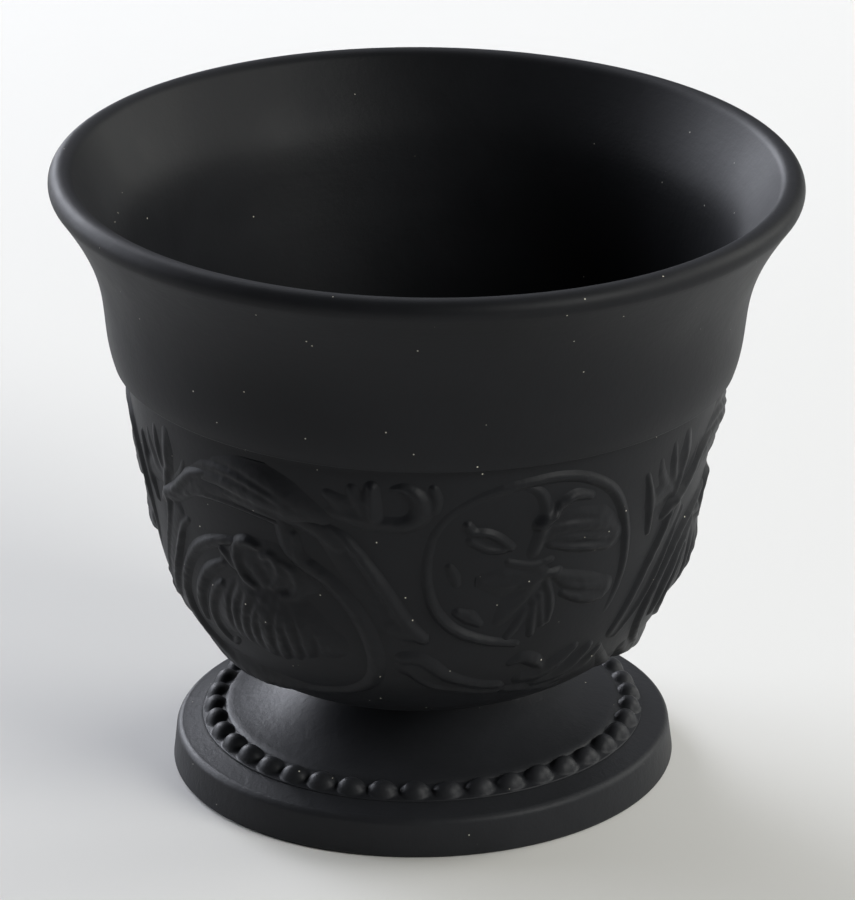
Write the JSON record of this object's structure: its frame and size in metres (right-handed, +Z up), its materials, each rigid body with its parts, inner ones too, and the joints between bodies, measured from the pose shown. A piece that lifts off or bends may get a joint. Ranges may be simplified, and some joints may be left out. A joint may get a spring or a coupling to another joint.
{
  "type": "egg cup",
  "caption": "Footed egg cup in black stoneware, with a flared plain rim, a scroll and flower frieze round the bowl and a bead row on the foot.",
  "frame": {"origin": "centre of the flat ring that the foot stands on", "axes": "+Z up along the cup's axis of turning; -Y is the front, between the two scrolls of the frieze; +X is to the right seen from the front"},
  "size_m": [0.054, 0.054, 0.0458],
  "materials": {
    "bowl_stoneware": "unglazed fine black stoneware, soft bluish sheen",
    "foot_stoneware": "unglazed black stoneware, faint turning lines, rubbed edge",
    "bead_stoneware": "unglazed black stoneware, moulded",
    "frieze_stoneware": "unglazed black stoneware, moulded relief"
  },
  "bodies": {
    "root": {"bowl": "bowl_stoneware", "foot": "foot_stoneware", "bead_strip": "bead_stoneware", "main_stem_1": "frieze_stoneware", "trough_stem_1": "frieze_stoneware", "high_scroll_1": "frieze_stoneware", "low_scroll_1": "frieze_stoneware", "open_flower_1": "frieze_stoneware", "drooping_flower_1": "frieze_stoneware", "trefoil_leaf_1": "frieze_stoneware", "base_leaf_1": "frieze_stoneware", "crest_leaf_1": "frieze_stoneware", "curled_leaf_1": "frieze_stoneware", "almond_leaf_1": "frieze_stoneware", "small_leaf_1": "frieze_stoneware", "under_tendril_1": "frieze_stoneware", "main_stem_2": "frieze_stoneware", "trough_stem_2": "frieze_stoneware", "high_scroll_2": "frieze_stoneware", "low_scroll_2": "frieze_stoneware", "open_flower_2": "frieze_stoneware", "drooping_flower_2": "frieze_stoneware", "trefoil_leaf_2": "frieze_stoneware", "base_leaf_2": "frieze_stoneware", "crest_leaf_2": "frieze_stoneware", "curled_leaf_2": "frieze_stoneware", "almond_leaf_2": "frieze_stoneware", "small_leaf_2": "frieze_stoneware", "under_tendril_2": "frieze_stoneware", "main_stem_3": "frieze_stoneware", "trough_stem_3": "frieze_stoneware", "high_scroll_3": "frieze_stoneware", "low_scroll_3": "frieze_stoneware", "open_flower_3": "frieze_stoneware", "drooping_flower_3": "frieze_stoneware", "trefoil_leaf_3": "frieze_stoneware", "base_leaf_3": "frieze_stoneware", "crest_leaf_3": "frieze_stoneware", "curled_leaf_3": "frieze_stoneware", "almond_leaf_3": "frieze_stoneware", "small_leaf_3": "frieze_stoneware", "under_tendril_3": "frieze_stoneware"}
  },
  "joints": []
}
